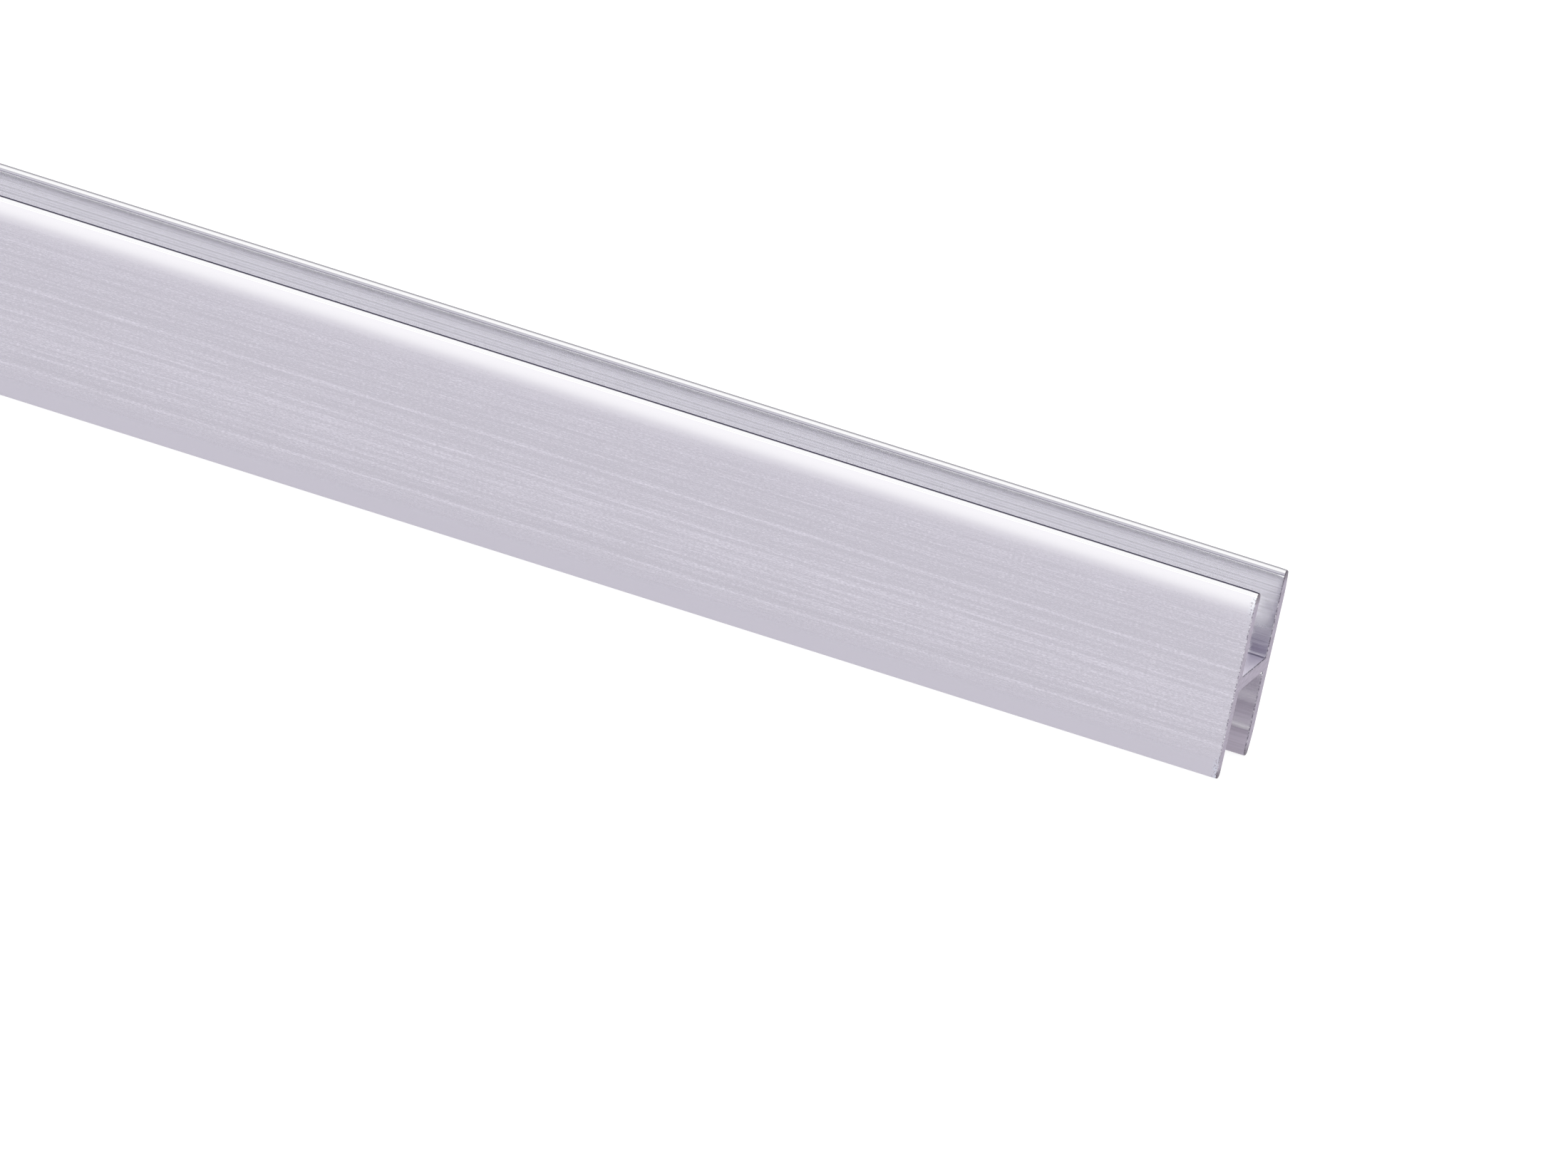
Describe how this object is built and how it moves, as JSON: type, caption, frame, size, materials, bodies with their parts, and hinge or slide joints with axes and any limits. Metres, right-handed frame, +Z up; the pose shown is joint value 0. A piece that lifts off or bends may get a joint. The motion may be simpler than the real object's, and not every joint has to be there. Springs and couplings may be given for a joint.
{
  "type": "aluminium h-section extrusion profile",
  "caption": "Straight aluminium extrusion with an H-shaped section: brushed upright flanges joined by a central web, leaving open panel slots above and below it.",
  "frame": {"origin": "on the floor under the middle of the bar, midway between the flanges' lower tips", "axes": "+X along the bar, +Y across it from the front flange to the back flange, +Z up along the flanges"},
  "size_m": [1, 0.011, 0.02],
  "materials": {
    "aluminium": "satin, brushed along the bar on the outer faces, die-drawn in the slots, sawn at the ends"
  },
  "bodies": {
    "root": {"h_profile": "aluminium"}
  },
  "joints": []
}
